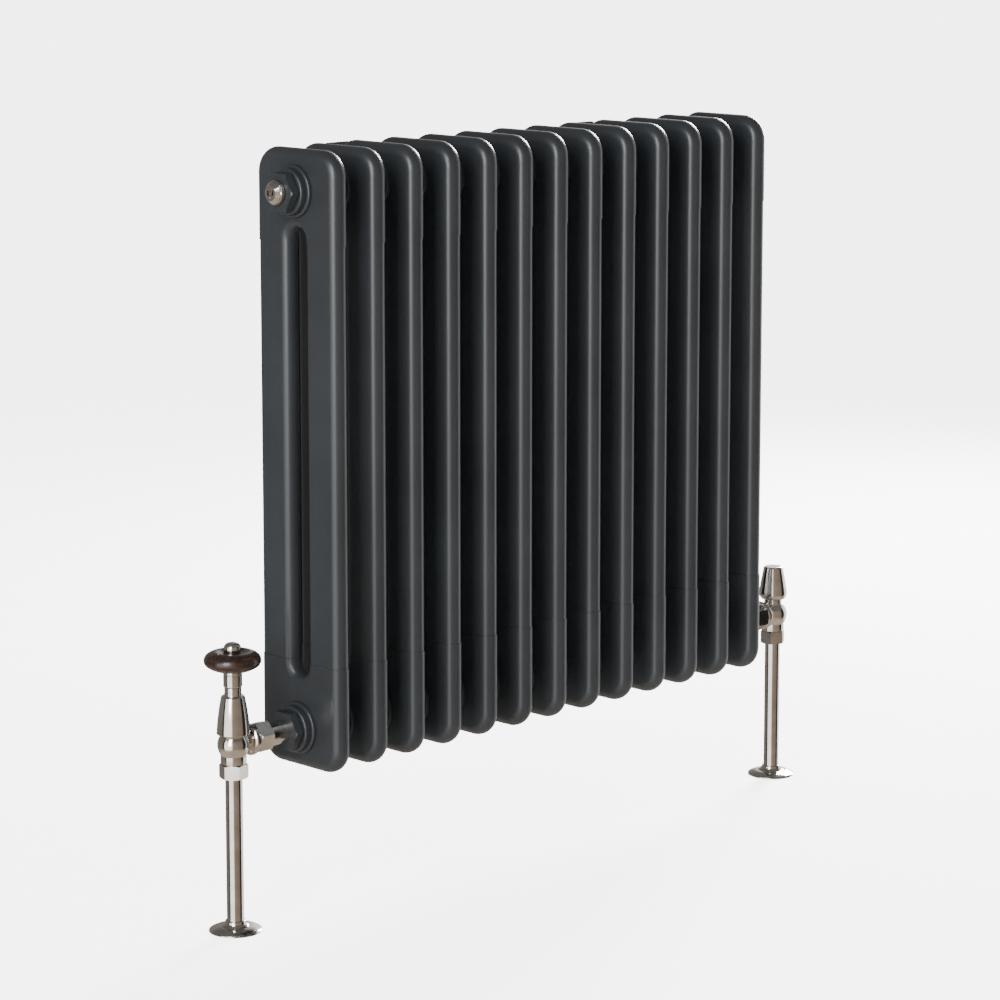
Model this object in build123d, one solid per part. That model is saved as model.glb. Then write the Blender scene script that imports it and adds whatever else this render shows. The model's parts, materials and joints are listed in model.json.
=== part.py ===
"""Two-column steel radiator with a wooden-wheel thermostatic valve and a lockshield valve.

Frame: X runs along the radiator with the thermostatic valve at -X, the front faces -Y, +Z is up.
Origin: on the wall face, midway between the two upper wall brackets, at the upper tapping height.
Every length is in millimetres.
"""

from build123d import *
import os

os.makedirs("parts", exist_ok=True)

# ---------------------------------------------------------------- driving dimensions
# radiator body
section_count = 13
section_pitch = 50.0
section_thickness = 20.0
depth = 113.0
body_height = 600.0
base_height = 144.0  # underside of the sections above the finished floor
corner_radius = 25.0
edge_radius = 9.5
sheet = 1.5
column_depth = 45.5
column_set_in = 0.4  # the columns stand this far inside the pressed heads
tapping_inset = 40.0  # tapping axis from the nearer end of the section
top_arch_reach = 36.0  # tapping axis to the crown of the slot
low_arch_reach = 51.0

# hub collars between the sections
collar_radii = (25.4, 22.5, 18.0)
collar_steps = (4.0, 11.0)  # how far the wide and the middle ring stand off the head
collar_rounding = 2.0
waterway_radius = 13.5

# wall and brackets
wall_gap = 32.0
bracket_offset = 175.0  # bracket plane from the middle of the radiator
bracket_plate = (34.0, 3.0, 66.0)
screw_spacing = 44.0
screw_hole_radius = 3.5
arm_thickness = 5.0
liner_thickness = 2.0
liner_width = 7.6

# threaded connections, modelled as plain cylinders at the pitch size
bush_thread_radius = 13.15
tail_thread_radius = 10.45
thread_gap = 0.05

# valves
valve_axis = 393.0  # valve centre line from the middle of the radiator
ball_radius = 15.5
pipe_radius = 7.5
pipe_bore = 6.8
pipe_tail = 25.0  # pipe that goes on below the finished floor
sleeve_radius = 8.3
sleeve_bore = 7.6
rose_radius = 25.6
wheel_radius = 27.7
pipe_groove_depth = 0.3
pipe_groove = (2.0, 0.5)  # the rolled groove runs between these depths below the floor

# ---------------------------------------------------------------- derived places
core_y = -(wall_gap + depth / 2)
low_tapping = -(body_height - 2 * tapping_inset)
floor_z = -(base_height + body_height - tapping_inset)
half_thickness = section_thickness / 2
end_face = (section_count - 1) / 2 * section_pitch + half_thickness
slot_half = depth / 2 - column_depth
bush_face = end_face + collar_steps[1] + 1.0
bush_length = 9.0
bush_end = bush_face + bush_length
pipe_floor = floor_z - low_tapping


# ---------------------------------------------------------------- helpers
def turned(points):
    """Solid of revolution about Z from (radius, height) corners."""
    wire = Polyline(*[(r, 0, z) for r, z in points], close=True)
    return revolve(make_face(wire), Axis.Z)


def turned_face(curves):
    """Solid of revolution about Z from a closed outline of lines and arcs."""
    return revolve(make_face(Wire(curves)), Axis.Z)


def rod(radius, low, high):
    """Cylinder about Z between two heights."""
    return Pos(0, 0, (low + high) / 2) * Cylinder(radius, high - low)


def tube(outer, inner, low, high):
    """Plain tube about Z between two heights."""
    return rod(outer, low, high) - rod(inner, low, high)


def hexagon(across_flats, low, high, chamfer=1.3):
    """Hexagonal bar about Z with its corners turned back at both ends."""
    outline = RegularPolygon(across_flats / 2, 6, major_radius=False)
    prism = extrude(Plane.XY.offset(low) * outline, high - low)
    corner = across_flats / 2 / 0.866
    turned_back = turned(
        [
            (0, low),
            (corner - chamfer, low),
            (corner, low + chamfer * 0.6),
            (corner, high - chamfer * 0.6),
            (corner - chamfer, high),
            (0, high),
        ]
    )
    return prism & turned_back


def along_x(shape, x, z=low_tapping, side=-1):
    """Stand a piece made about Z on the tapping axis, its top pointing away from the radiator."""
    return Pos(side * x, core_y, z) * Rot(0, 90 * side, 0) * shape


def at_valve(shape, side):
    """Place a piece made about the valve axis; the part is mirrored for the right-hand end."""
    return Pos(side * valve_axis, core_y, low_tapping) * (shape if side < 0 else Rot(0, 0, 180) * shape)


def save(name, *solids):
    """Write one named node; several solids stay separate inside it."""
    shapes = [s for part in solids for s in part.solids()]
    node = shapes[0] if len(shapes) == 1 else Compound(children=shapes)
    export_step(node, f"parts/{name}.step")
    print(f"{name}: {len(shapes)} solid(s)")


# ---------------------------------------------------------------- radiator sections
def head_blank(reach, inset):
    """A head about its tapping axis: rounded box with the end of the slot cut out of its foot."""
    arch_radius = slot_half + inset
    spring_line = -reach - slot_half
    foot = spring_line - 3.0
    top = tapping_inset - inset
    plate = Pos(0, (top + foot) / 2) * Rectangle(depth - 2 * inset, top - foot)
    plate = fillet(plate.vertices().group_by(Axis.Y)[-1], corner_radius - inset)
    arch = Pos(0, spring_line) * Circle(arch_radius)
    arch += Pos(0, (spring_line + foot) / 2) * Rectangle(2 * arch_radius, spring_line - foot)
    solid = extrude(Plane.YZ * (plate - arch), half_thickness - inset, both=True)
    rims = [
        edge
        for face in (solid.faces().sort_by(Axis.X)[0], solid.faces().sort_by(Axis.X)[-1])
        for edge in face.edges()
        if edge.center().Z > foot + 0.01
    ]
    return fillet(rims, edge_radius - inset), foot


def head(reach):
    """Pressed hollow head with a waterway hole through both cheeks."""
    outer, foot = head_blank(reach, 0.0)
    inner, _ = head_blank(reach, sheet)
    waterway = Rot(0, 90, 0) * Cylinder(waterway_radius, 2 * section_thickness)
    return outer - inner - waterway, foot


def column(y, low, high):
    """Flat-sided tube with half-round edges."""
    length = column_depth - 2 * column_set_in
    width = section_thickness - 2 * column_set_in
    profile = SlotOverall(length, width, rotation=90)
    profile -= SlotOverall(length - 2 * sheet, width - 2 * sheet, rotation=90)
    return Pos(0, y, low) * extrude(profile, high - low)


top_head, top_foot = head(top_arch_reach)
low_head, low_foot = head(low_arch_reach)
column_y = depth / 2 - column_depth / 2
column_low = low_tapping - low_foot
front_column = column(core_y - column_y, column_low, top_foot)
rear_column = column(core_y + column_y, column_low, top_foot)
for index in range(section_count):
    x = (index - (section_count - 1) / 2) * section_pitch
    save(
        f"section_{index + 1:02d}",
        Pos(x, core_y, 0) * top_head,
        Pos(x, core_y, low_tapping) * mirror(low_head, Plane.XY),
        Pos(x, 0, 0) * front_column,
        Pos(x, 0, 0) * rear_column,
    )


# ---------------------------------------------------------------- hub collars
def ring_edges(solid, radius, low, high):
    """Circular outside edges of a turned piece at one radius, between two heights."""
    return [
        edge
        for edge in solid.edges().filter_by(GeomType.CIRCLE)
        if abs(edge.radius - radius) < 0.01 and low < edge.center().Z < high
    ]


def between_collar():
    """Stepped collar that fills the gap between two neighbouring heads."""
    wide, middle, neck = collar_radii
    half_gap = (section_pitch - section_thickness) / 2
    wide_step = half_gap - collar_steps[0]
    middle_step = half_gap - collar_steps[1]
    solid = turned(
        [
            (waterway_radius, -half_gap),
            (wide, -half_gap),
            (wide, -wide_step),
            (middle, -wide_step),
            (middle, -middle_step),
            (neck, -middle_step),
            (neck, middle_step),
            (middle, middle_step),
            (middle, wide_step),
            (wide, wide_step),
            (wide, half_gap),
            (waterway_radius, half_gap),
        ]
    )
    solid = fillet(ring_edges(solid, wide, -half_gap + 0.1, half_gap - 0.1), collar_rounding)
    middle_rims = ring_edges(solid, middle, -middle_step - 0.1, middle_step + 0.1)
    return fillet(middle_rims, collar_rounding)


def end_collar():
    """Stepped collar on an outer cheek, tapped for an end bush."""
    wide, middle, _ = collar_radii
    bore = bush_thread_radius + thread_gap
    solid = turned(
        [
            (bore, 0),
            (wide, 0),
            (wide, collar_steps[0]),
            (middle, collar_steps[0]),
            (middle, collar_steps[1]),
            (bore, collar_steps[1]),
        ]
    )
    rims = ring_edges(solid, wide, 0.1, collar_steps[1])
    rims += ring_edges(solid, middle, collar_steps[0] + 0.1, collar_steps[1] + 0.1)
    return fillet(rims, collar_rounding)


gap_collar = Rot(0, 90, 0) * between_collar()
outer_collar = end_collar()
for name, z in (("top_hub_collars", 0.0), ("bottom_hub_collars", low_tapping)):
    rings = [
        Pos((index - (section_count - 2) / 2) * section_pitch, core_y, z) * gap_collar
        for index in range(section_count - 1)
    ]
    rings += [along_x(outer_collar, end_face, z, side) for side in (-1, 1)]
    save(name, *rings)


# ---------------------------------------------------------------- end bushes, vent and blank plug
bush_flats = 36.0
bush = Rot(0, 0, 30) * hexagon(bush_flats, 0, bush_length, 1.6)
bush += rod(bush_thread_radius, -14.0, 0)
bush -= rod(tail_thread_radius + thread_gap, -20, bush_length + 1)
bush_washer = tube(17.0, bush_thread_radius + 0.2, -1.0, 0)
corners = (
    ("top_left", 0.0, -1),
    ("top_right", 0.0, 1),
    ("bottom_left", low_tapping, -1),
    ("bottom_right", low_tapping, 1),
)
for name, z, side in corners:
    save(f"{name}_bush", along_x(bush, bush_face, z, side))
save("bush_gaskets", *[along_x(bush_washer, bush_face, z, side) for _, z, side in corners])

washer_thickness = 1.0
plug_thread = 11.0
plug_washer = tube(11.4, tail_thread_radius + 0.1, 0, washer_thickness)
save("plug_gaskets", *[along_x(plug_washer, bush_end, 0.0, side) for side in (-1, 1)])

vent_radius = 11.8
vent_flange = 4.0
vent_face = 9.0
vent_pocket = 4.4
vent_screw_hole = 2.45
vent_body = turned(
    [
        (0, -plug_thread),
        (tail_thread_radius, -plug_thread),
        (tail_thread_radius, washer_thickness),
        (vent_radius, washer_thickness),
        (vent_radius, vent_flange),
        (vent_radius - 1.2, vent_flange + 1.0),
        (vent_radius - 1.2, vent_flange + 1.6),
        (7.4, vent_face),
        (0, vent_face),
    ]
)
knob_outline = RegularPolygon(vent_radius - 1.4, 8, major_radius=False)
facets = extrude(Plane.XY.offset(vent_flange) * knob_outline, 6.0)
vent_body = (vent_body & rod(20, -12, vent_flange)) + (vent_body & facets)
vent_body -= rod(vent_pocket, 4.5, 12)
vent_body -= rod(vent_screw_hole, -12, 12)
save("air_vent_plug", along_x(vent_body, bush_end, 0.0, -1))

vent_screw = rod(vent_screw_hole - thread_gap, -9.0, 5.0)
vent_screw += Pos(0, 0, 6.8) * Box(4.6, 4.6, 3.8)
save("air_vent_screw", along_x(vent_screw, bush_end, 0.0, -1))

blank_plug = turned(
    [
        (0, -plug_thread),
        (tail_thread_radius, -plug_thread),
        (tail_thread_radius, washer_thickness),
        (vent_radius, washer_thickness),
        (vent_radius, 4.5),
        (vent_radius - 1.8, 6.5),
        (0, 6.5),
    ]
)
key_socket = RegularPolygon(5.0, 6, major_radius=False)
blank_plug -= extrude(Plane.XY.offset(1.5) * key_socket, 8.0)
save("blanking_plug", along_x(blank_plug, bush_end, 0.0, 1))

# ---------------------------------------------------------------- wall brackets
hub_radius = collar_radii[2]
cradle_radius = hub_radius + 0.1 + liner_thickness + 0.1


def bracket(x, z):
    """Wall plate with two screw holes and an arm whose cradle takes the hub."""
    width, thickness, height = bracket_plate
    plate = Pos(0, -thickness / 2, 0) * Box(width, thickness, height)
    plate = fillet(plate.edges().filter_by(Axis.Y), 4.0)
    hole = Rot(90, 0, 0) * Cylinder(screw_hole_radius, 20)
    for offset in (-screw_spacing / 2, screw_spacing / 2):
        plate -= Pos(0, 0, offset) * hole
    lip = core_y - cradle_radius - 6.5
    outline = Polyline(
        (-thickness, 18.0),
        (-thickness, -18.0),
        (core_y + cradle_radius, -33.0),
        (lip, -33.0),
        (lip, -5.0),
        (core_y + cradle_radius + 4.0, -5.0),
        (core_y + cradle_radius + 12.0, 4.0),
        close=True,
    )
    arm = extrude(Plane.YZ * make_face(outline), arm_thickness / 2, both=True)
    arm -= Pos(0, core_y, 0) * Rot(0, 90, 0) * Cylinder(cradle_radius, 20)
    return Pos(x, 0, z) * (plate + arm)


def cradle_liner(x, z):
    """Nylon half ring between the hub and the bracket arm."""
    inner = hub_radius + 0.1
    ring = tube(inner + liner_thickness, inner, -liner_width / 2, liner_width / 2)
    lower_part = Pos(0, 0, -25.0) * Box(20, 60, 40)
    return Pos(x, core_y, z) * ((Rot(0, 90, 0) * ring) & lower_part)


bracket_places = (
    ("upper_left_bracket", -bracket_offset, 0.0),
    ("upper_right_bracket", bracket_offset, 0.0),
    ("lower_left_bracket", -bracket_offset, low_tapping),
    ("lower_right_bracket", bracket_offset, low_tapping),
)
for name, x, z in bracket_places:
    save(name, bracket(x, z))
save("cradle_liners", *[cradle_liner(x, z) for _, x, z in bracket_places])

# ---------------------------------------------------------------- parts that both valves share
seat_z = -10.0
chamber_radius = 8.0
neck_radius = 9.5
neck_top = 16.0
outlet_end = 32.0
thread_radius = 12.9


def valve_body():
    """Ball body with a pipe socket below, a headgear neck above and a union outlet to one side (+X)."""
    body = Pos(0, 0, -1) * Sphere(ball_radius)
    body += rod(12.4, -19.5, 0) + rod(10.5, -29, -10) + rod(neck_radius, 0, neck_top)
    collar = turned(
        [
            (0, 6.0),
            (9.2, 6.0),
            (9.2, 16.4),
            (13.4, 16.4),
            (15.4, 18.4),
            (15.4, 21.6),
            (14.2, 23.0),
            (0, 23.0),
        ]
    )
    collar += rod(thread_radius, 20, outlet_end)
    body += Rot(0, 90, 0) * collar
    body -= rod(pipe_radius + thread_gap, -30, -17.5)
    body -= rod(5.5, -18, seat_z + 1)
    body -= rod(chamber_radius, seat_z, neck_top + 1)
    body -= Pos(20, 0, 0) * Rot(0, 90, 0) * Cylinder(6.5, 40)
    return body


union_washer = tube(12.4, 8.0, outlet_end, outlet_end + 1.5)
flange_face = outlet_end + 1.5
barrel_radius = 11.5
tail_reach = valve_axis - bush_end
tail = turned(
    [
        (7.0, flange_face),
        (thread_radius, flange_face),
        (thread_radius, flange_face + 3.0),
        (barrel_radius, flange_face + 3.0),
        (barrel_radius, tail_reach - 0.2),
        (tail_thread_radius, tail_reach - 0.2),
        (tail_thread_radius, tail_reach + 14.0),
        (7.0, tail_reach + 14.0),
    ]
)
nut_low = 23.4
nut_high = 40.0
union_nut = hexagon(27.5, nut_low, nut_high, 1.8)
union_nut -= rod(thread_radius + thread_gap, 20, flange_face + 3.0 + thread_gap)
union_nut -= rod(barrel_radius + thread_gap, 20, nut_high + 1)

compression_nut = hexagon(24.5, -33.5, -20.0, 1.5)
compression_nut -= rod(10.55, -31.5, -19)
compression_nut -= rod(sleeve_bore, -40, -19)
olive = turned([(7.52, -31.4), (8.2, -31.4), (9.4, -30.3), (8.2, -29.1), (7.52, -29.1)])


def sideways(shape):
    """Lay a piece made about Z along +X, from the valve towards the radiator."""
    return Rot(0, 90, 0) * shape


both_sides = (-1, 1)
save("union_washers", *[at_valve(sideways(union_washer), side) for side in both_sides])
save("compression_olives", *[at_valve(olive, side) for side in both_sides])

sleeve_top = -34.0
pipe = tube(pipe_radius, pipe_bore, pipe_floor - pipe_tail, -17.7)
groove_low, groove_high = (pipe_floor - below for below in pipe_groove)
pipe -= tube(pipe_radius + 1.0, pipe_radius - pipe_groove_depth, groove_low, groove_high)
sleeve = tube(sleeve_radius, sleeve_bore, pipe_floor, sleeve_top)
rose_bore = sleeve_radius + 0.1
rose = turned_face(
    [
        Line((rose_bore, 0, 0), (rose_radius, 0, 0)),
        Line((rose_radius, 0, 0), (rose_radius, 0, 1.2)),
        ThreePointArc((rose_radius, 0, 1.2), (20.5, 0, 3.6), (14.2, 0, 4.8)),
        ThreePointArc((14.2, 0, 4.8), (11.1, 0, 6.4), (10.0, 0, 9.6)),
        Line((10.0, 0, 9.6), (9.4, 0, 10.4)),
        Line((9.4, 0, 10.4), (rose_bore, 0, 10.4)),
        Line((rose_bore, 0, 10.4), (rose_bore, 0, 0)),
    ]
)
for hand, side in (("left", -1), ("right", 1)):
    save(f"{hand}_supply_pipe", at_valve(pipe, side))
    save(f"{hand}_pipe_sleeve", at_valve(sleeve, side))
    save(f"{hand}_floor_rose", at_valve(Pos(0, 0, pipe_floor) * rose, side))

# ---------------------------------------------------------------- thermostatic valve
save("trv_body", at_valve(valve_body(), -1))
save("trv_tail", at_valve(sideways(tail), -1))
save("trv_union_nut", at_valve(sideways(Rot(0, 0, 15) * union_nut), -1))
save("trv_compression_nut", at_valve(Rot(0, 0, 12) * compression_nut, -1))

insert = rod(chamber_radius - thread_gap, 2, neck_top) + rod(9.3, neck_top, 21)
insert -= rod(2.55, 0, 30)
save("trv_insert", at_valve(insert, -1))

pin_collar = 30.0
pin = rod(2.5, -6.0, pin_collar) + rod(5.2, pin_collar, pin_collar + 1.5)
save("trv_pin", at_valve(pin, -1))
valve_disc = rod(7.0, seat_z + 0.2, -6.0)
save("trv_disc", at_valve(valve_disc, -1))

spring_path = Helix(pitch=2.4, height=7.4, radius=4.0)
spring = sweep(Plane(origin=spring_path @ 0, z_dir=spring_path % 0) * Circle(0.45), spring_path)
save("trv_spring", at_valve(Pos(0, 0, 21.8) * spring, -1))

capsule_low = pin_collar + 1.5
capsule = turned(
    [
        (0, capsule_low),
        (7.6, capsule_low),
        (8.4, capsule_low + 1.0),
        (8.4, 40.5),
        (5.0, 42.0),
        (5.0, 50.0),
        (3.1, 50.0),
        (3.1, 43.0),
        (0, 43.0),
    ]
)
save("trv_sensor_capsule", at_valve(capsule, -1))

bell_foot = 9.5
bell_top = 46.6
stem_top = 54.5
bell = turned_face(
    [
        Line((15.0, 0, bell_foot), (16.0, 0, bell_foot)),
        ThreePointArc((16.0, 0, bell_foot), (14.6, 0, 24.0), (11.3, 0, bell_top - 1.2)),
        Line((11.3, 0, bell_top - 1.2), (10.4, 0, bell_top)),
        Line((10.4, 0, bell_top), (8.1, 0, bell_top)),
        Line((8.1, 0, bell_top), (8.1, 0, stem_top)),
        Line((8.1, 0, stem_top), (6.4, 0, stem_top)),
        Line((6.4, 0, stem_top), (6.4, 0, bell_top - 1.5)),
        Line((6.4, 0, bell_top - 1.5), (9.6, 0, bell_top - 1.5)),
        ThreePointArc((9.6, 0, bell_top - 1.5), (12.6, 0, 25.0), (13.5, 0, 17.0)),
        Line((13.5, 0, 17.0), (9.4, 0, 17.0)),
        Line((9.4, 0, 17.0), (9.4, 0, neck_top)),
        Line((9.4, 0, neck_top), (neck_radius, 0, neck_top)),
        Line((neck_radius, 0, neck_top), (15.0, 0, bell_foot)),
    ]
)
bell -= Pos(0, 0, -1) * Sphere(ball_radius + 0.05)
bell -= rod(neck_radius + 0.05, 0, 16.2)
bell -= rod(9.4, 16, 22)
save("trv_bell_housing", at_valve(bell, -1))

ferrule = tube(9.1, 3.05, stem_top + 0.3, 69.6)
foot_circles = ferrule.edges().filter_by(GeomType.CIRCLE).group_by(Axis.Z)[0]
ferrule = chamfer(foot_circles.sort_by(SortBy.RADIUS)[-1], 0.6)
save("trv_ferrule", at_valve(ferrule, -1))

wheel_mid = 80.6
wheel = turned_face(
    [
        Line((3.1, 0, wheel_mid - 11.0), (9.4, 0, wheel_mid - 11.0)),
        ThreePointArc((9.4, 0, wheel_mid - 11.0), (18.6, 0, wheel_mid - 8.2), (25.6, 0, wheel_mid - 4.2)),
        ThreePointArc((25.6, 0, wheel_mid - 4.2), (wheel_radius, 0, wheel_mid), (25.4, 0, wheel_mid + 4.6)),
        ThreePointArc((25.4, 0, wheel_mid + 4.6), (21.2, 0, wheel_mid + 7.8), (16.0, 0, wheel_mid + 9.0)),
        ThreePointArc((16.0, 0, wheel_mid + 9.0), (12.6, 0, wheel_mid + 8.3), (9.2, 0, wheel_mid + 7.2)),
        Line((9.2, 0, wheel_mid + 7.2), (3.1, 0, wheel_mid + 7.2)),
        Line((3.1, 0, wheel_mid + 7.2), (3.1, 0, wheel_mid - 11.0)),
    ]
)
wheel -= Pos(-17.2, 0, wheel_mid + 8.4) * Cylinder(1.05, 4.0)
save("trv_wooden_wheel", at_valve(wheel, -1))
setting_dot = Pos(-17.2, 0, wheel_mid + 7.8) * Cylinder(1.0, 2.6)
save("trv_setting_dot", at_valve(setting_dot, -1))

cap_foot = wheel_mid + 7.2
dome_radius = 10.0
cap_nut = rod(8.4, cap_foot, cap_foot + 12) & Pos(0, 0, cap_foot + 0.2) * Sphere(dome_radius)
cap_nut -= rod(3.05, cap_foot - 1, cap_foot + 5)
save("trv_cap_nut", at_valve(cap_nut, -1))
save("trv_setting_screw", at_valve(rod(3.0, 47.2, cap_foot + 4.6), -1))

# ---------------------------------------------------------------- lockshield valve
save("lockshield_body", at_valve(valve_body(), 1))
save("lockshield_tail", at_valve(sideways(tail), 1))
save("lockshield_union_nut", at_valve(sideways(Rot(0, 0, 5) * union_nut), 1))
save("lockshield_compression_nut", at_valve(Rot(0, 0, 33) * compression_nut, 1))

headgear = rod(chamber_radius - thread_gap, 0, neck_top) + rod(9.3, neck_top, 20) + rod(6.0, 20, 28)
headgear -= rod(3.55, -1, 30)
headgear -= rod(5.3, -1, 9)
save("lockshield_headgear", at_valve(headgear, 1))

spindle = rod(3.5, 0.5, 29.0) + Pos(0, 0, 34.0) * Box(4.8, 4.8, 10.0)
save("lockshield_spindle", at_valve(spindle, 1))
jumper = rod(7.2, seat_z + 0.2, -5.5) + rod(5.0, -5.5, 3.0) - rod(3.55, -5.0, 4.0)
save("lockshield_jumper", at_valve(jumper, 1))

cap_top = 52.6
shield = turned_face(
    [
        Line((0, 0, cap_top), (9.6, 0, cap_top)),
        Line((9.6, 0, cap_top), (10.4, 0, cap_top - 0.8)),
        ThreePointArc((10.4, 0, cap_top - 0.8), (13.7, 0, 36.0), (15.6, 0, 22.6)),
        ThreePointArc((15.6, 0, 22.6), (15.0, 0, 19.4), (12.4, 0, neck_top + 0.2)),
        Line((12.4, 0, neck_top + 0.2), (9.9, 0, neck_top + 0.2)),
        Line((9.9, 0, neck_top + 0.2), (9.9, 0, 30.0)),
        Line((9.9, 0, 30.0), (8.0, 0, 48.0)),
        Line((8.0, 0, 48.0), (0, 0, 48.0)),
        Line((0, 0, 48.0), (0, 0, cap_top)),
    ]
)
save("lockshield_cap", at_valve(shield, 1))

print("valve axis", valve_axis, "core y", core_y, "low tapping", low_tapping, "floor", floor_z)
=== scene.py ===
# %% [markdown]
# # A column radiator with its two valves
#
# The object is a wall-hung steel radiator in anthracite powder coat. A thermostatic valve with a
# turned wooden wheel feeds its left end, and a lockshield valve closes its right end. Its sizes are
# already fixed by the CAD model, which is loaded first and never moved. This lesson gives that model
# its finishes, and rebuilds the pieces that the eye rests on with softer edges and finer detail.

import json
import math

import bmesh
import bpy
from mathutils import Matrix, Vector


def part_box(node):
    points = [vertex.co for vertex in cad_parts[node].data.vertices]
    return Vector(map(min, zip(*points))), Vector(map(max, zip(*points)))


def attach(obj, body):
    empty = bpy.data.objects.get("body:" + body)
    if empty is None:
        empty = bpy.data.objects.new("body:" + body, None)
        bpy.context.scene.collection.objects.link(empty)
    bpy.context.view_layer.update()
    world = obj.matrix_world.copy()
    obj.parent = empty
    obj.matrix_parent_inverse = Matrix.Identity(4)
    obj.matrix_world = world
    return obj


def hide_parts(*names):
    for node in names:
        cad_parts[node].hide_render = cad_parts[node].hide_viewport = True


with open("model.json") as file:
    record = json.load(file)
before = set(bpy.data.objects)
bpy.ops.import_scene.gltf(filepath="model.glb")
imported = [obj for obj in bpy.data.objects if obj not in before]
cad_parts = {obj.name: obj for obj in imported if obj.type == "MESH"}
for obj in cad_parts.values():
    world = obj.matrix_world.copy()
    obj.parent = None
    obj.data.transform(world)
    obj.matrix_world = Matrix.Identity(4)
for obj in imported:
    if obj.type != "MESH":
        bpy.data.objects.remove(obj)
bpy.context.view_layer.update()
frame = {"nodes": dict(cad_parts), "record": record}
nodes = frame["nodes"]

# %% [markdown]
# ## Camera
#
# A long lens looks at the radiator across its left front corner, from a little above its middle.
# A small vertical shift keeps the upright columns nearly parallel, as an architectural view camera
# does. The place is in metres, and the two turns are in degrees.

# %% Camera
CAMERA_PLACE = (-2.4223, -2.4775, 0.3197)
CAMERA_YAW = 44.975
CAMERA_DOWN = 8.591
CAMERA_LENS = 121.93
CAMERA_SHIFT = -0.14

camera_data = bpy.data.cameras.new("camera")
camera_data.sensor_width = 36.0
camera_data.lens = CAMERA_LENS
camera_data.shift_y = CAMERA_SHIFT
camera = bpy.data.objects.new("camera", camera_data)
camera.location = CAMERA_PLACE
camera.rotation_euler = (math.radians(90 - CAMERA_DOWN), 0.0, math.radians(-CAMERA_YAW))
bpy.context.scene.collection.objects.link(camera)
bpy.context.scene.camera = camera
print("camera looks", CAMERA_YAW, "degrees to the right and", CAMERA_DOWN, "down")

# %% [markdown]
# ## Studio lamps
#
# Three soft rectangles light the object. A tall one stands to the left like a window. A weak one
# fills the front from the right, and is kept out of reflections, so that each column keeps a single
# narrow highlight. A tall strong one behind the right end puts a thin rim on every column and a glint
# on every top corner.


# %% Studio lamps
RADIATOR_MIDDLE = (0.0, -0.09, -0.3)
RADIATOR_TOP = (0.0, -0.1, 0.0)


def soft_light(name, place, target, size, power, colour):
    """A rectangular lamp at place, turned to face target; size is its width and height."""
    lamp = bpy.data.lights.new(name, "AREA")
    lamp.shape = "RECTANGLE"
    lamp.size, lamp.size_y = size
    lamp.energy = power
    lamp.color = colour
    holder = bpy.data.objects.new(name, lamp)
    holder.location = place
    aim = Vector(target) - Vector(place)
    holder.rotation_euler = aim.to_track_quat("-Z", "Y").to_euler()
    bpy.context.scene.collection.objects.link(holder)
    print("light", name, "at", place)
    return holder


soft_light(
    "left_window",
    place=(-2.3, -0.95, 0.55),
    target=RADIATOR_MIDDLE,
    size=(0.8, 2.0),
    power=56.0,
    colour=(0.95, 0.985, 1.0),
)
fill = soft_light(
    "front_fill",
    place=(1.2, -2.6, 0.9),
    target=RADIATOR_MIDDLE,
    size=(1.4, 1.4),
    power=7.0,
    colour=(1.0, 0.94, 0.88),
)
fill.visible_glossy = False
soft_light(
    "right_rim",
    place=(2.5, 0.9, 0.55),
    target=RADIATOR_TOP,
    size=(0.8, 1.4),
    power=300.0,
    colour=(1.0, 0.98, 0.95),
)

# %% [markdown]
# ## The room that the metal reflects
#
# Polished plate has almost no colour of its own: it shows the room. The camera sees a plain pale
# background, but reflections see a room with a white wall on the left, a warm dim part behind the
# viewer's right shoulder, and narrow dark gaps between them. A radial gradient on the direction is
# enough to paint it, and it stays fixed to the room when the view changes. Above the walls the room
# has a dark ceiling, and below them a warm floor, which the upper and the lower half of a ball show.

# %% Room
BACKGROUND = (1.0, 1.0, 1.0)
BACKGROUND_LEVEL = 5.0
AMBIENT = (0.95, 0.97, 1.0)
AMBIENT_LEVEL = 0.5
# A place of 0.25 on the walls is in front of the radiator, 0.5 is to its right and 0.75 is behind it.
ROOM_BANDS = [
    (0.000, (2.6, 2.55, 2.45)),
    (0.098, (2.6, 2.50, 2.35)),
    (0.122, (0.42, 0.335, 0.26)),
    (0.320, (0.27, 0.215, 0.17)),
    (0.345, (0.02, 0.02, 0.02)),
    (0.405, (0.02, 0.02, 0.02)),
    (0.430, (1.9, 1.85, 1.8)),
    (0.615, (1.5, 1.45, 1.4)),
    (0.640, (0.27, 0.25, 0.225)),
    (0.905, (0.21, 0.195, 0.18)),
    (0.925, (0.015, 0.015, 0.015)),
    (0.948, (0.015, 0.015, 0.015)),
    (0.960, (2.6, 2.55, 2.45)),
]

# The ceiling and the floor blend into the walls between two heights of the reflected direction.
CEILING = (0.16, 0.155, 0.15)
CEILING_RISE = (0.34, 0.58)
ROOM_FLOOR = (0.60, 0.50, 0.40)
FLOOR_DROP = (-0.34, -0.60)

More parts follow.
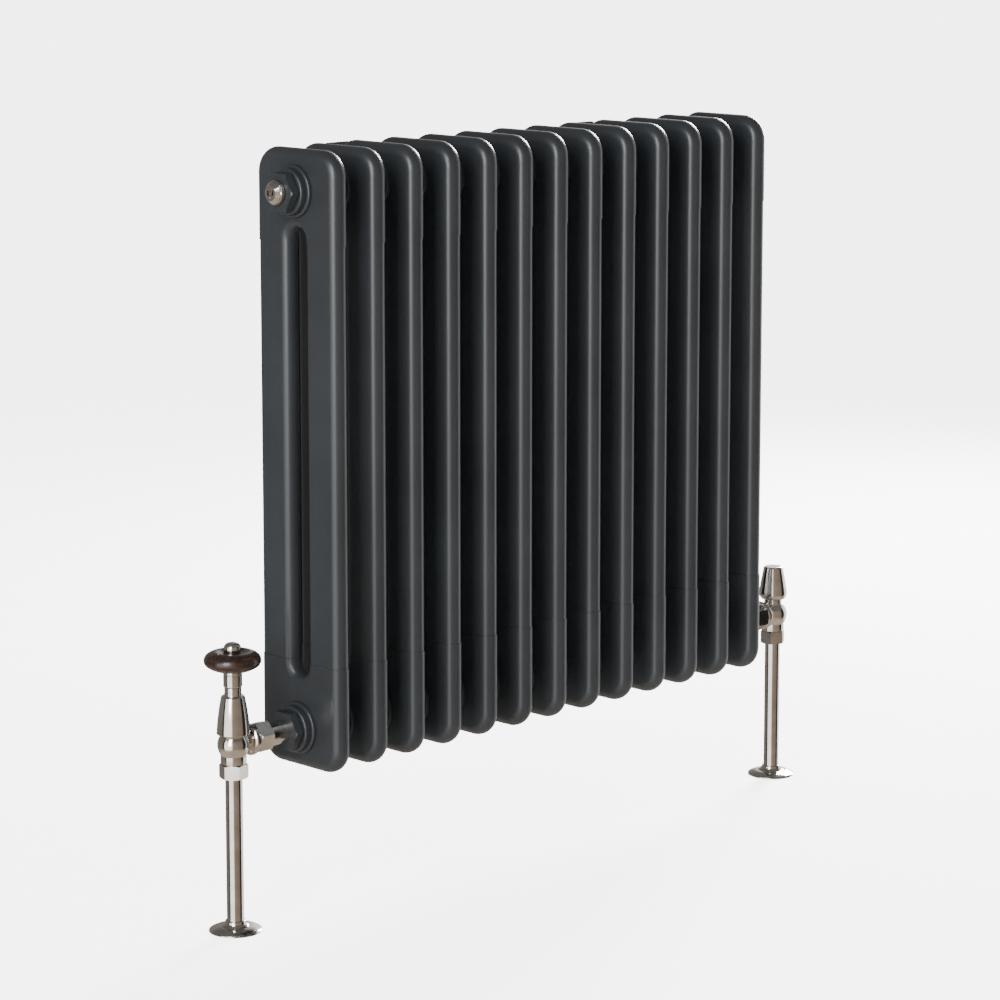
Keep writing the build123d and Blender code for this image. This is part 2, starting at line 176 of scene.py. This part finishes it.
room = bpy.data.worlds.new("room")
room.use_nodes = True
bpy.context.scene.world = room
room_tree = room.node_tree
direction = room_tree.nodes.new("ShaderNodeTexCoord")
around = room_tree.nodes.new("ShaderNodeTexGradient")
around.gradient_type = "RADIAL"
bands = room_tree.nodes.new("ShaderNodeValToRGB")
while len(bands.color_ramp.elements) < len(ROOM_BANDS):
    bands.color_ramp.elements.new(1.0)
for band, (place, colour) in zip(bands.color_ramp.elements, ROOM_BANDS):
    band.position = place
    band.color = (*colour, 1.0)
rise = room_tree.nodes.new("ShaderNodeSeparateXYZ")
wall_colour = bands.outputs["Color"]
for (wall_end, flat_start), flat_colour in ((CEILING_RISE, CEILING), (FLOOR_DROP, ROOM_FLOOR)):
    share = room_tree.nodes.new("ShaderNodeMapRange")
    share.inputs["From Min"].default_value = wall_end
    share.inputs["From Max"].default_value = flat_start
    room_tree.links.new(rise.outputs["Z"], share.inputs["Value"])
    blend = room_tree.nodes.new("ShaderNodeMixRGB")
    blend.inputs["Color2"].default_value = (*flat_colour, 1.0)
    room_tree.links.new(share.outputs["Result"], blend.inputs["Fac"])
    room_tree.links.new(wall_colour, blend.inputs["Color1"])
    wall_colour = blend.outputs["Color"]
rays = room_tree.nodes.new("ShaderNodeLightPath")
reflected = room_tree.nodes.new("ShaderNodeBackground")
ambient = room_tree.nodes["Background"]
ambient.inputs["Color"].default_value = (*AMBIENT, 1.0)
ambient.inputs["Strength"].default_value = AMBIENT_LEVEL
seen = room_tree.nodes.new("ShaderNodeBackground")
seen.inputs["Color"].default_value = (*BACKGROUND, 1.0)
seen.inputs["Strength"].default_value = BACKGROUND_LEVEL
glossy_or_not = room_tree.nodes.new("ShaderNodeMixShader")
camera_or_not = room_tree.nodes.new("ShaderNodeMixShader")
room_links = room_tree.links
room_links.new(direction.outputs["Generated"], around.inputs["Vector"])
room_links.new(direction.outputs["Generated"], rise.inputs["Vector"])
room_links.new(around.outputs["Fac"], bands.inputs["Fac"])
room_links.new(wall_colour, reflected.inputs["Color"])
room_links.new(rays.outputs["Is Glossy Ray"], glossy_or_not.inputs["Fac"])
room_links.new(ambient.outputs["Background"], glossy_or_not.inputs[1])
room_links.new(reflected.outputs["Background"], glossy_or_not.inputs[2])
room_links.new(rays.outputs["Is Camera Ray"], camera_or_not.inputs["Fac"])
room_links.new(glossy_or_not.outputs["Shader"], camera_or_not.inputs[1])
room_links.new(seen.outputs["Background"], camera_or_not.inputs[2])
room_links.new(camera_or_not.outputs["Shader"], room_tree.nodes["World Output"].inputs["Surface"])
print("room has", len(ROOM_BANDS), "stops round its walls")

# %% [markdown]
# ## Floor
#
# The floor is a plain pale sheet under the floor roses. It is as bright as the background for the
# camera only, and fades to nothing a few metres away, so it meets the background without a line.

# %% Floor
FLOOR_GAP = 0.0003
FLOOR_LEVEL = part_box("left_floor_rose")[0].z - FLOOR_GAP
FLOOR_HALF = 8.0
FLOOR_COLOUR = (0.90, 0.90, 0.90)
FLOOR_GLOW = 4.3
FADE_START = 1.1
FADE_END = 3.2

floor_mesh = bmesh.new()
bmesh.ops.create_grid(floor_mesh, x_segments=1, y_segments=1, size=FLOOR_HALF)
bmesh.ops.translate(floor_mesh, verts=floor_mesh.verts, vec=(0.0, 0.0, FLOOR_LEVEL))
floor_data = bpy.data.meshes.new("studio_floor")
floor_mesh.to_mesh(floor_data)
floor_mesh.free()
studio_floor = bpy.data.objects.new("studio_floor", floor_data)
bpy.context.scene.collection.objects.link(studio_floor)
studio_floor.visible_glossy = False

floor_paint = bpy.data.materials.new("floor_paint")
floor_paint.use_nodes = True
floor_tree = floor_paint.node_tree
floor_shader = floor_tree.nodes["Principled BSDF"]
floor_shader.inputs["Base Color"].default_value = (*FLOOR_COLOUR, 1.0)
floor_shader.inputs["Roughness"].default_value = 0.9
floor_shader.inputs["Emission Color"].default_value = (*BACKGROUND, 1.0)
floor_rays = floor_tree.nodes.new("ShaderNodeLightPath")
floor_glow = floor_tree.nodes.new("ShaderNodeMath")
floor_glow.operation = "MULTIPLY"
floor_glow.inputs[1].default_value = FLOOR_GLOW
floor_place = floor_tree.nodes.new("ShaderNodeTexCoord")
floor_reach = floor_tree.nodes.new("ShaderNodeVectorMath")
floor_reach.operation = "LENGTH"
fade = floor_tree.nodes.new("ShaderNodeMapRange")
fade.interpolation_type = "SMOOTHSTEP"
fade.inputs["From Min"].default_value = FADE_START
fade.inputs["From Max"].default_value = FADE_END
nothing = floor_tree.nodes.new("ShaderNodeBsdfTransparent")
floor_mix = floor_tree.nodes.new("ShaderNodeMixShader")
floor_links = floor_tree.links
floor_links.new(floor_rays.outputs["Is Camera Ray"], floor_glow.inputs[0])
floor_links.new(floor_glow.outputs["Value"], floor_shader.inputs["Emission Strength"])
floor_links.new(floor_place.outputs["Object"], floor_reach.inputs[0])
floor_links.new(floor_reach.outputs["Value"], fade.inputs["Value"])
floor_links.new(fade.outputs["Result"], floor_mix.inputs["Fac"])
floor_links.new(floor_shader.outputs["BSDF"], floor_mix.inputs[1])
floor_links.new(nothing.outputs["BSDF"], floor_mix.inputs[2])
floor_links.new(floor_mix.outputs["Shader"], floor_tree.nodes["Material Output"].inputs["Surface"])
studio_floor.data.materials.append(floor_paint)
print("floor at", FLOOR_LEVEL)

# %% [markdown]
# ## Black card for painted shade
#
# From the camera's corner a thin slit of background shows through the slot of the first section. A
# black card hung behind the object paints shade into such gaps: its dark colour stands in for the
# shade that fills them. It is one-sided, so that the back of the radiator stays open to view, and it
# casts no shadow. It is no part of the radiator. Seen from the front it paints the gaps between the
# sections dark as painted shade, and its right edge shows past the last one.

# %% Black card, painted shade
CARD_LEFT = -0.25
CARD_RIGHT = 0.34
CARD_BOTTOM = -0.53
CARD_TOP = -0.02
CARD_DEPTH = 0.004
# The card's colour is painted shade for the gaps behind the sections.
PAINTED_SHADE_COLOUR = (0.012, 0.011, 0.010)

card_mesh = bmesh.new()
card_corners = (
    (CARD_LEFT, CARD_BOTTOM),
    (CARD_RIGHT, CARD_BOTTOM),
    (CARD_RIGHT, CARD_TOP),
    (CARD_LEFT, CARD_TOP),
)
card_mesh.faces.new([card_mesh.verts.new((x, CARD_DEPTH, z)) for x, z in card_corners])
card_data = bpy.data.meshes.new("painted_shade_card")
card_mesh.to_mesh(card_data)
card_mesh.free()
painted_shade_card = bpy.data.objects.new("painted_shade_card", card_data)
bpy.context.scene.collection.objects.link(painted_shade_card)
painted_shade_card.visible_shadow = False
painted_shade_card.visible_diffuse = False

# The card's material paints shade seen from the front and lets the view through from behind.
painted_shade_paint = bpy.data.materials.new("painted_shade_paint")
painted_shade_paint.use_nodes = True
card_tree = painted_shade_paint.node_tree
card_shader = card_tree.nodes["Principled BSDF"]
card_shader.inputs["Base Color"].default_value = (*PAINTED_SHADE_COLOUR, 1.0)
card_shader.inputs["Roughness"].default_value = 0.95
card_side = card_tree.nodes.new("ShaderNodeNewGeometry")
see_through = card_tree.nodes.new("ShaderNodeBsdfTransparent")
card_mix = card_tree.nodes.new("ShaderNodeMixShader")
card_links = card_tree.links
card_links.new(card_side.outputs["Backfacing"], card_mix.inputs["Fac"])
card_links.new(card_shader.outputs["BSDF"], card_mix.inputs[1])
card_links.new(see_through.outputs["BSDF"], card_mix.inputs[2])
card_links.new(card_mix.outputs["Shader"], card_tree.nodes["Material Output"].inputs["Surface"])
painted_shade_card.data.materials.append(painted_shade_paint)
print("black card hangs at", CARD_DEPTH)

# %% [markdown]
# ## Finishes
#
# Each finish is a small node tree on the Principled shader. Noise in Object coordinates varies the
# colour and the roughness a little, and a finer noise gives the bump. A real surface is never even,
# and these small changes are what make it look like a material and not like a colour.


# %% Finish helpers
NOISE_LOW = 0.3
NOISE_HIGH = 0.7


def start_finish(name, colour, metallic, roughness):
    """A new material with its Principled shader set to plain values."""
    material = bpy.data.materials.new(name)
    material.use_nodes = True
    shader = material.node_tree.nodes["Principled BSDF"]
    shader.inputs["Base Color"].default_value = (*colour, 1.0)
    shader.inputs["Metallic"].default_value = metallic
    shader.inputs["Roughness"].default_value = roughness
    return material, shader


def add_noise(material, scale, detail, stretch=(1.0, 1.0, 1.0)):
    """A noise pattern on Object coordinates, stretched along the axes."""
    tree = material.node_tree
    place = tree.nodes.new("ShaderNodeTexCoord")
    mapping = tree.nodes.new("ShaderNodeMapping")
    mapping.inputs["Scale"].default_value = stretch
    noise = tree.nodes.new("ShaderNodeTexNoise")
    noise.inputs["Scale"].default_value = scale
    noise.inputs["Detail"].default_value = detail
    tree.links.new(place.outputs["Object"], mapping.inputs["Vector"])
    tree.links.new(mapping.outputs["Vector"], noise.inputs["Vector"])
    return noise.outputs["Fac"]


def blend_colour(material, factor, stops):
    """A colour ramp read by factor; its stops are (position, colour)."""
    ramp = material.node_tree.nodes.new("ShaderNodeValToRGB")
    elements = ramp.color_ramp.elements
    while len(elements) < len(stops):
        elements.new(1.0)
    for element, (position, colour) in zip(elements, stops):
        element.position = position
        element.color = (*colour, 1.0)
    material.node_tree.links.new(factor, ramp.inputs["Fac"])
    return ramp.outputs["Color"]


def spread(material, factor, low, high):
    """The factor, spread from low to high over the range that a noise really fills."""
    ranged = material.node_tree.nodes.new("ShaderNodeMapRange")
    ranged.inputs["From Min"].default_value = NOISE_LOW
    ranged.inputs["From Max"].default_value = NOISE_HIGH
    ranged.inputs["To Min"].default_value = low
    ranged.inputs["To Max"].default_value = high
    material.node_tree.links.new(factor, ranged.inputs["Value"])
    return ranged.outputs["Result"]


def add_bump(material, shader, height, distance, strength):
    """A bump of that distance, in metres, on the shader's normal."""
    bump = material.node_tree.nodes.new("ShaderNodeBump")
    bump.inputs["Distance"].default_value = distance
    bump.inputs["Strength"].default_value = strength
    material.node_tree.links.new(height, bump.inputs["Height"])
    material.node_tree.links.new(bump.outputs["Normal"], shader.inputs["Normal"])


def join(material, output, socket):
    """One link, to keep the cells below short."""
    material.node_tree.links.new(output, socket)


# %% [markdown]
# ### Powder coat
#
# Powder coat is baked plastic on steel: dark, satin, with a fine orange-peel skin. The colour hardly
# changes, so a slow noise moves it only a little, and a fine noise of about a millimetre makes the
# skin.

# %% Powder coat
CLOUD_SCALE = 9.0
PEEL_SCALE = 900.0
PEEL_DEPTH = 0.00004

powder_coat, shader = start_finish("powder_coat", (0.06, 0.068, 0.076), 0.0, 0.4)
cloud = add_noise(powder_coat, CLOUD_SCALE, 2.0)
coat_colour = blend_colour(
    powder_coat, cloud, [(0.3, (0.027, 0.030, 0.033)), (0.7, (0.035, 0.039, 0.043))]
)
join(powder_coat, coat_colour, shader.inputs["Base Color"])
peel = add_noise(powder_coat, PEEL_SCALE, 3.0)
join(powder_coat, spread(powder_coat, peel, 0.31, 0.37), shader.inputs["Roughness"])
add_bump(powder_coat, shader, peel, PEEL_DEPTH, 0.25)
print("powder coat ready")

# %% [markdown]
# ### Polished nickel
#
# The fittings are brass, turned on a lathe, polished and nickel plated. The plate is a mirror with
# faint turning marks that run round the axis. One finish has its marks round an upright axis and
# another has them round the axis that points at the radiator.


# %% Polished nickel
MARKS_SCALE = 160.0
MARKS_STRETCH = 22.0
MARKS_DEPTH = 0.00002
TARNISH_SCALE = 60.0


def make_nickel(name, stretch):
    """Nickel plate whose turning marks lie across the stretched axis."""
    material, plate = start_finish(name, (0.72, 0.69, 0.65), 1.0, 0.12)
    marks = add_noise(material, MARKS_SCALE, 3.0, stretch)
    join(material, spread(material, marks, 0.07, 0.17), plate.inputs["Roughness"])
    tarnish = add_noise(material, TARNISH_SCALE, 3.0)
    plate_colour = blend_colour(
        material, tarnish, [(0.35, (0.62, 0.585, 0.54)), (0.65, (0.76, 0.735, 0.70))]
    )
    join(material, plate_colour, plate.inputs["Base Color"])
    add_bump(material, plate, marks, MARKS_DEPTH, 0.35)
    return material


nickel_upright = make_nickel("nickel_upright", (1.0, 1.0, MARKS_STRETCH))
nickel_sideways = make_nickel("nickel_sideways", (MARKS_STRETCH, 1.0, 1.0))
print("nickel ready")

# %% [markdown]
# ### Dark wood
#
# The wheel is turned from a dense dark timber and oiled to a shine. Its grain runs across the wheel,
# so the rings are stretched along one level axis, and fine pores lie along the same axis.

# %% Dark wood
FIGURE_SCALE = 55.0
PORES_SCALE = 220.0
PORES_DEPTH = 0.00008

dark_wood, shader = start_finish("dark_wood", (0.03, 0.016, 0.012), 0.0, 0.28)
figure = add_noise(dark_wood, FIGURE_SCALE, 5.0, (1.0, 7.0, 7.0))
wood_colour = blend_colour(
    dark_wood,
    figure,
    [(0.30, (0.010, 0.006, 0.005)), (0.52, (0.030, 0.014, 0.010)), (0.72, (0.075, 0.030, 0.018))],
)
join(dark_wood, wood_colour, shader.inputs["Base Color"])
pores = add_noise(dark_wood, PORES_SCALE, 4.0, (1.0, 9.0, 9.0))
join(dark_wood, spread(dark_wood, pores, 0.22, 0.36), shader.inputs["Roughness"])
add_bump(dark_wood, shader, pores, PORES_DEPTH, 0.5)
shader.inputs["Coat Weight"].default_value = 0.3
shader.inputs["Coat Roughness"].default_value = 0.26
print("wood ready")

# %% [markdown]
# ### Hidden and small finishes
#
# The rest are seen only close up or when a piece is lifted off: bare brass in the valve, steel pins
# and springs, copper pipe, black rubber seals, nylon cradles and the painted wall brackets.


# %% Hidden finishes
def make_plain(name, colours, metallic, roughness, scale, bump):
    """A finish with one noise for its colour, its roughness and its bump."""
    material, plain = start_finish(name, colours[0], metallic, roughness[0])
    speckle = add_noise(material, scale, 4.0)
    speckle_colour = blend_colour(material, speckle, [(0.35, colours[0]), (0.65, colours[1])])
    join(material, speckle_colour, plain.inputs["Base Color"])
    join(material, spread(material, speckle, *roughness), plain.inputs["Roughness"])
    add_bump(material, plain, speckle, bump, 0.5)
    return material


bare_brass = make_plain(
    "bare_brass",
    colours=((0.62, 0.42, 0.16), (0.78, 0.56, 0.25)),
    metallic=1.0,
    roughness=(0.2, 0.34),
    scale=130.0,
    bump=0.00003,
)
plain_steel = make_plain(
    "plain_steel",
    colours=((0.42, 0.42, 0.43), (0.56, 0.56, 0.57)),
    metallic=1.0,
    roughness=(0.24, 0.4),
    scale=170.0,
    bump=0.00003,
)
black_rubber = make_plain(
    "black_rubber",
    colours=((0.012, 0.012, 0.012), (0.024, 0.023, 0.022)),
    metallic=0.0,
    roughness=(0.62, 0.82),
    scale=300.0,
    bump=0.00005,
)
black_nylon = make_plain(
    "black_nylon",
    colours=((0.014, 0.014, 0.015), (0.025, 0.025, 0.027)),
    metallic=0.0,
    roughness=(0.42, 0.56),
    scale=240.0,
    bump=0.00004,
)
bracket_coat = make_plain(
    "bracket_coat",
    colours=((0.045, 0.051, 0.058), (0.060, 0.067, 0.075)),
    metallic=0.0,
    roughness=(0.4, 0.5),
    scale=700.0,
    bump=0.00005,
)
copper_pipe = make_plain(
    "copper_pipe",
    colours=((0.58, 0.26, 0.15), (0.74, 0.38, 0.24)),
    metallic=1.0,
    roughness=(0.24, 0.42),
    scale=75.0,
    bump=0.00003,
)
print("hidden finishes ready")

# %% [markdown]
# ## Finishes on the CAD nodes
#
# Every node in the record names its finish. The nickel pieces whose axis points at the radiator take
# the second nickel.

# %% Hand out the finishes
FINISHES = {
    "powder_coat": powder_coat,
    "polished_nickel": nickel_upright,
    "bare_brass": bare_brass,
    "plain_steel": plain_steel,
    "black_rubber": black_rubber,
    "black_nylon": black_nylon,
    "dark_wood": dark_wood,
    "bracket_coat": bracket_coat,
    "copper_pipe": copper_pipe,
}
slot_of = {}
for subpart in frame["record"]["subparts"]:
    slot_of[subpart["node"]] = subpart["material_slot"]
for node_name, node in nodes.items():
    chosen = FINISHES[slot_of[node_name]]
    if chosen == nickel_upright and ("_tail" in node_name or "union_nut" in node_name):
        chosen = nickel_sideways
    for holder in node.material_slots:
        holder.material = chosen
print(len(nodes), "nodes have their finish")

# %% [markdown]
# ## How a turned piece is made
#
# Most fittings on this object come off a lathe. In Blender that is a profile and a spin. A profile is
# a list of corners: radius, height and how far back from the corner its rounding starts, all in
# millimetres. Bevelling the corners of the wire rounds them into arcs, so a few numbers give a smooth
# flare, and the same small bevel softens the sharp arrises that catch the light on a real turned part.
# A profile that begins on the axis also ends there, and any other profile is closed into a loop.


# %% Turned piece
STEPS_ROUND = 96
# A rounding of up to so many millimetres gets so many segments.
ROUND_SEGMENTS = {0.15: 2, 0.5: 3, 1.5: 5, 4.0: 8, 20.0: 12}
MERGE_DISTANCE = 1e-6
MM_PER_METRE = 1000


def turn_profile(corners):
    """A mesh spun about Z from (radius, height, rounding) corners in millimetres."""
    bm = bmesh.new()
    points = []
    for radius, height, _ in corners:
        points.append(bm.verts.new((radius / MM_PER_METRE, 0.0, height / MM_PER_METRE)))
    for first, second in zip(points, points[1:]):
        bm.edges.new((first, second))
    if corners[0][0] > 0:
        bm.edges.new((points[-1], points[0]))
    roundings = {}
    for point, (_, _, rounding) in zip(points, corners):
        if rounding:
            roundings.setdefault(rounding, []).append(point)
    for rounding, group in sorted(roundings.items()):
        segments = next(count for limit, count in ROUND_SEGMENTS.items() if rounding <= limit)
        bmesh.ops.bevel(
            bm,
            geom=group,
            offset=rounding / MM_PER_METRE,
            offset_type="OFFSET",
            segments=segments,
            profile=0.5,
            affect="VERTICES",
            material=-1,
            clamp_overlap=True,
        )
    bmesh.ops.spin(
        bm,
        geom=bm.verts[:] + bm.edges[:],
        cent=(0.0, 0.0, 0.0),
        axis=(0.0, 0.0, 1.0),
        angle=math.tau,
        steps=STEPS_ROUND,
        use_merge=True,
    )
    bmesh.ops.remove_doubles(bm, verts=bm.verts, dist=MERGE_DISTANCE)
    bmesh.ops.recalc_face_normals(bm, faces=bm.faces)
    return bm


# %% [markdown]
# ## How a piece is finished
#
# A finished mesh goes into an object at the origin, takes the finish and the body of the CAD node
# that it stands for, and hides that node. Faces are shaded smooth, except over edges sharper than a
# lathe tool leaves. Each valve's pieces are drawn round its centre, where its upright axis crosses
# the level of the radiator's lower tapping, so their heights below count from there.

# %% Finish a piece
SHARP_ANGLE = math.radians(32)
body_of_node = {}
for body, members in frame["record"]["behaviour"]["bodies"].items():
    for member in members:
        body_of_node[member] = body


def centre_of(node_name):
    """The middle of a CAD node's box."""
    low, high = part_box(node_name)
    return (low + high) / 2


def finish_piece(name, bm, node_name, material):
    """Make the object for a mesh that stands for one CAD node."""
    mesh = bpy.data.meshes.new(name)
    bm.to_mesh(mesh)
    bm.free()
    mesh.shade_smooth()
    mesh.set_sharp_from_angle(angle=SHARP_ANGLE)
    mesh.materials.append(material)
    piece = bpy.data.objects.new(name, mesh)
    bpy.context.scene.collection.objects.link(piece)
    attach(piece, body_of_node[node_name])
    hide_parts(node_name)
    print(name, "has", len(mesh.polygons), "faces")


tapping_level = centre_of("trv_tail").z
valve_centre = {}
for valve, sleeve in (("trv", "left_pipe_sleeve"), ("lockshield", "right_pipe_sleeve")):
    sleeve_middle = centre_of(sleeve)
    valve_centre[valve] = Vector((sleeve_middle.x, sleeve_middle.y, tapping_level))
    print(valve, "stands at", tuple(valve_centre[valve]))


def turned_on_valve(name, corners, valve, node_name, material):
    """A turned piece on the upright axis of a valve."""
    bm = turn_profile(corners)
    bmesh.ops.translate(bm, verts=bm.verts, vec=valve_centre[valve])
    finish_piece(name, bm, node_name, material)


# %% [markdown]
# ## Wooden wheel
#
# The wheel is a flat disc of dark timber with a blunt rounded rim, a conical underside and a shallow
# dish round its cap nut. It is the one warm spot on the object and sits near the viewer, so its curve
# has to be even: the corners lie a little outside the curve and their roundings nearly meet.

# %% Wheel
wheel_corners = [
    (3.1, 69.6, 0),
    (9.4, 69.6, 0.4),
    (19.2, 71.9, 4.0),
    (26.4, 76.2, 2.6),
    (27.7, 80.8, 2.1),
    (26.4, 85.0, 2.2),
    (21.6, 88.6, 2.8),
    (15.8, 89.6, 2.2),
    (11.4, 88.2, 1.4),
    (9.2, 87.8, 0.4),
    (3.1, 87.8, 0),
]
turned_on_valve("wooden_wheel", wheel_corners, "trv", "trv_wooden_wheel", dark_wood)

# %% [markdown]
# ## Cap nut, ferrule and bell of the thermostatic valve
#
# The cap nut is a low dome over the wheel's screw. The ferrule carries the wheel and turns with it.
# The bell hides the sensor capsule: it swells downwards in one long slightly hollow flare and ends in
# a thin foot over the ball. The foot is turned back inwards, so that the shell is closed.

# %% Upper valve pieces
cap_nut_corners = [
    (0.0, 98.0, 0),
    (4.2, 97.9, 1.4),
    (7.0, 96.2, 1.3),
    (8.4, 93.6, 1.6),
    (8.4, 87.8, 0.3),
    (3.05, 87.8, 0),
    (3.05, 92.4, 0),
    (0.0, 92.8, 0),
]
ferrule_corners = [
    (3.05, 54.8, 0),
    (8.3, 54.8, 0.2),
    (9.1, 55.7, 0.3),
    (9.1, 66.4, 0.1),
    (8.8, 66.7, 0.1),
    (8.8, 67.2, 0.1),
    (9.1, 67.5, 0.1),
    (9.1, 69.6, 0.15),
    (3.05, 69.6, 0),
]
bell_corners = [
    (11.5, 9.5, 0),
    (16.0, 9.5, 0.4),
    (15.9, 12.0, 0.8),
    (14.9, 27.0, 12.0),
    (11.4, 45.4, 0.5),
    (10.4, 46.6, 0.4),
    (8.1, 46.6, 0.3),
    (8.1, 54.5, 0.3),
    (6.4, 54.5, 0.2),
    (6.4, 45.1, 0),
    (9.6, 45.1, 0),
    (12.8, 24.0, 0),
    (13.4, 17.0, 0),
    (9.6, 17.0, 0),
    (9.6, 12.3, 0),
]
turned_on_valve("cap_nut", cap_nut_corners, "trv", "trv_cap_nut", nickel_upright)
turned_on_valve("wheel_ferrule", ferrule_corners, "trv", "trv_ferrule", nickel_upright)
turned_on_valve("bell_housing", bell_corners, "trv", "trv_bell_housing", nickel_upright)

# %% [markdown]
# ## Ball bodies
#
# Both valves have the same forged and polished body: a ball on a straight neck, with a stepped collar
# on the side that faces the radiator. The ball and its necks are one turned piece, and the collar is
# another turned piece laid on its side. The ball's roundings run into each other, so its outline is
# a true arc.

# %% Ball bodies
ball_corners = [
    (7.6, -29.0, 0),
    (10.5, -29.0, 0.3),
    (10.5, -19.7, 0),
    (12.4, -19.5, 0.5),
    (12.4, -10.9, 1.0),
    (15.5, -6.19, 4.6),
    (15.5, 6.39, 7.3),
    (9.75, 11.05, 0),
    (9.4, 16.0, 0.3),
    (8.0, 16.0, 0.2),
    (8.0, -10.0, 0),
    (7.6, -10.0, 0),
]
collar_corners = [
    (6.5, 6.0, 0),
    (9.2, 6.0, 0),
    (9.2, 16.4, 0.4),
    (13.2, 16.4, 0.5),
    (15.4, 18.3, 0.8),
    (15.4, 21.5, 0.7),
    (14.2, 23.0, 0.4),
    (12.9, 23.0, 0),
    (12.9, 32.0, 0.3),
    (6.5, 32.0, 0),
]
for valve, towards_radiator in (("trv", 1), ("lockshield", -1)):
    node_name = f"{valve}_body"
    turned_on_valve(f"{valve}_ball", ball_corners, valve, node_name, nickel_upright)
    collar = turn_profile(collar_corners)
    bmesh.ops.rotate(
        collar,
        verts=collar.verts,
        cent=(0.0, 0.0, 0.0),
        matrix=Matrix.Rotation(math.radians(90 * towards_radiator), 3, "Y"),
    )
    bmesh.ops.translate(collar, verts=collar.verts, vec=valve_centre[valve])
    finish_piece(f"{valve}_outlet_collar", collar, node_name, nickel_sideways)

# %% [markdown]
# ## Lockshield cap
#
# The cap that covers the lockshield's spindle is bell shaped, with a flat top and a tucked-in foot.
# It is a hollow shell, because it lifts off and its inside can be seen then.

# %% Lockshield cap
cap_corners = [
    (0.0, 52.6, 0),
    (9.5, 52.6, 0.5),
    (10.5, 51.6, 0.5),
    (13.9, 34.5, 9.0),
    (15.6, 22.6, 1.6),
    (14.9, 19.2, 1.4),
    (12.4, 16.2, 0.4),
    (9.9, 16.2, 0.2),
    (9.9, 30.0, 0),
    (8.0, 48.0, 0.5),
    (0.0, 48.0, 0),
]
turned_on_valve("lockshield_shield", cap_corners, "lockshield", "lockshield_cap", nickel_upright)

# %% [markdown]
# ## Floor roses
#
# A rose is spun from thin sheet: a low dome that rises into a short hub round the pipe sleeve. Its
# rim is rolled down to the floor. The small step near the rim is the bead that stiffens it.

# %% Floor roses
rose_corners = [
    (8.4, 0.0, 0),
    (25.6, 0.0, 0),
    (25.6, 1.2, 0.5),
    (23.9, 2.1, 0.5),
    (23.5, 2.3, 0.2),
    (18.5, 4.3, 3.0),
    (12.2, 5.0, 2.2),
    (10.2, 8.0, 1.0),
    (10.0, 9.7, 0.3),
    (9.3, 10.4, 0.3),
    (8.4, 10.4, 0),
]
for hand in ("left", "right"):
    rose_low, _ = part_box(f"{hand}_floor_rose")
    rose_middle = centre_of(f"{hand}_floor_rose")
    rose = turn_profile(rose_corners)
    foot = Vector((rose_middle.x, rose_middle.y, rose_low.z))
    bmesh.ops.translate(rose, verts=rose.verts, vec=foot)
    finish_piece(f"{hand}_rose", rose, f"{hand}_floor_rose", nickel_upright)
